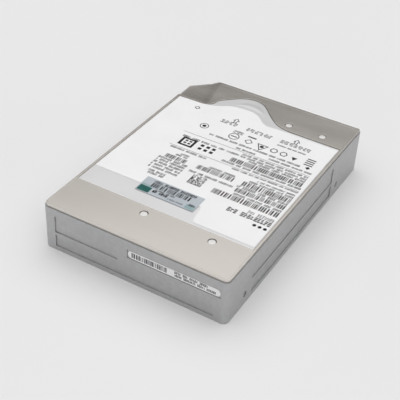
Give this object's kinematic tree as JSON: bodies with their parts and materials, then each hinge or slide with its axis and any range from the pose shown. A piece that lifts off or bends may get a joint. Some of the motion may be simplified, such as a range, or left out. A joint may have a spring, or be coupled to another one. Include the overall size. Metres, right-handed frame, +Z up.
{
  "type": "hard disk drive",
  "caption": "Sealed 3.5-inch hard disk drive with a welded lid, labels, board, serial connector, turning disc stack and swinging head stack.",
  "frame": {"origin": "centre of the footprint on the bottom face", "axes": "+Y along the length to the connector end, +X to the right with the connector end away from the viewer, +Z up through the lid and its label"},
  "size_m": [0.1016, 0.147, 0.0261],
  "materials": {
    "cast_aluminium": "die-cast, fine matt grain",
    "lid_metal": "satin sheet metal",
    "cover_metal": "satin sheet metal",
    "gasket_rubber": "matt",
    "grey_film": "satin film",
    "label_white": "coated label stock",
    "sticker_blue_grey": "semi-gloss security label",
    "board_green": "solder mask",
    "insulator_foam": "thin foam",
    "chip_black": "moulded",
    "black_plastic": "moulded",
    "ramp_plastic": "moulded",
    "screw_steel": "plain steel",
    "yoke_nickel": "nickel plated",
    "magnet_nickel": "nickel plated",
    "disc_mirror": "mirror polished",
    "machined_aluminium": "machined",
    "coil_copper": "enamelled copper wire",
    "flex_amber": "polyimide ribbon",
    "filter_white": "felt"
  },
  "bodies": {
    "casing": {"base_casting": "cast_aluminium", "inner_cover": "cover_metal", "cover_gasket": "gasket_rubber", "outer_lid": "lid_metal", "label_film": "grey_film", "label_paper": "label_white", "security_sticker": "sticker_blue_grey", "front_label": "label_white", "circuit_board": "board_green", "insulator_pad": "insulator_foam", "controller_chip": "chip_black", "interface_connector": "black_plastic", "feedthrough_connector": "chip_black", "spindle_shaft": "screw_steel", "stator": "coil_copper", "pivot_shaft": "screw_steel", "lower_yoke": "yoke_nickel", "upper_yoke": "yoke_nickel", "lower_magnet": "magnet_nickel", "upper_magnet": "magnet_nickel", "load_ramp": "ramp_plastic", "flex_circuit": "flex_amber", "recirculation_filter": "filter_white", "desiccant_pack": "filter_white", "board_screw_1": "screw_steel", "cover_screw_1": "screw_steel", "board_screw_2": "screw_steel", "cover_screw_2": "screw_steel", "board_screw_3": "screw_steel", "cover_screw_3": "screw_steel", "board_screw_4": "screw_steel", "cover_screw_4": "screw_steel"},
    "disc_stack": {"spindle_hub": "machined_aluminium", "rotor_magnet": "magnet_nickel", "disc_clamp": "screw_steel", "platter_1": "disc_mirror", "platter_2": "disc_mirror", "platter_3": "disc_mirror", "platter_4": "disc_mirror", "platter_5": "disc_mirror", "platter_6": "disc_mirror", "platter_7": "disc_mirror", "spacer_1": "machined_aluminium", "spacer_2": "machined_aluminium", "spacer_3": "machined_aluminium", "spacer_4": "machined_aluminium", "spacer_5": "machined_aluminium", "spacer_6": "machined_aluminium"},
    "head_stack": {"pivot_bearing": "screw_steel", "arm_block": "machined_aluminium", "voice_coil": "coil_copper", "head_pair_1": "screw_steel", "head_pair_2": "screw_steel", "head_pair_3": "screw_steel", "head_pair_4": "screw_steel", "head_pair_5": "screw_steel", "head_pair_6": "screw_steel", "head_pair_7": "screw_steel", "head_pair_8": "screw_steel"},
    "latch": {"actuator_latch": "black_plastic"}
  },
  "joints": [
    {"name": "spindle_spin", "type": "hinge", "parent": "casing", "child": "disc_stack", "pos_m": [0, -0.0227, 0.014], "axis": [0, 0, 1], "continuous": true},
    {"name": "head_swing", "type": "hinge", "parent": "casing", "child": "head_stack", "pos_m": [0.014, 0.0325, 0.01435], "axis": [0, 0, 1], "range_deg": [0, 34.5]},
    {"name": "latch_swing", "type": "hinge", "parent": "casing", "child": "latch", "pos_m": [-0.0044, 0.0479, 0.01435], "axis": [0, 0, 1], "range_deg": [-20, 4]}
  ]
}
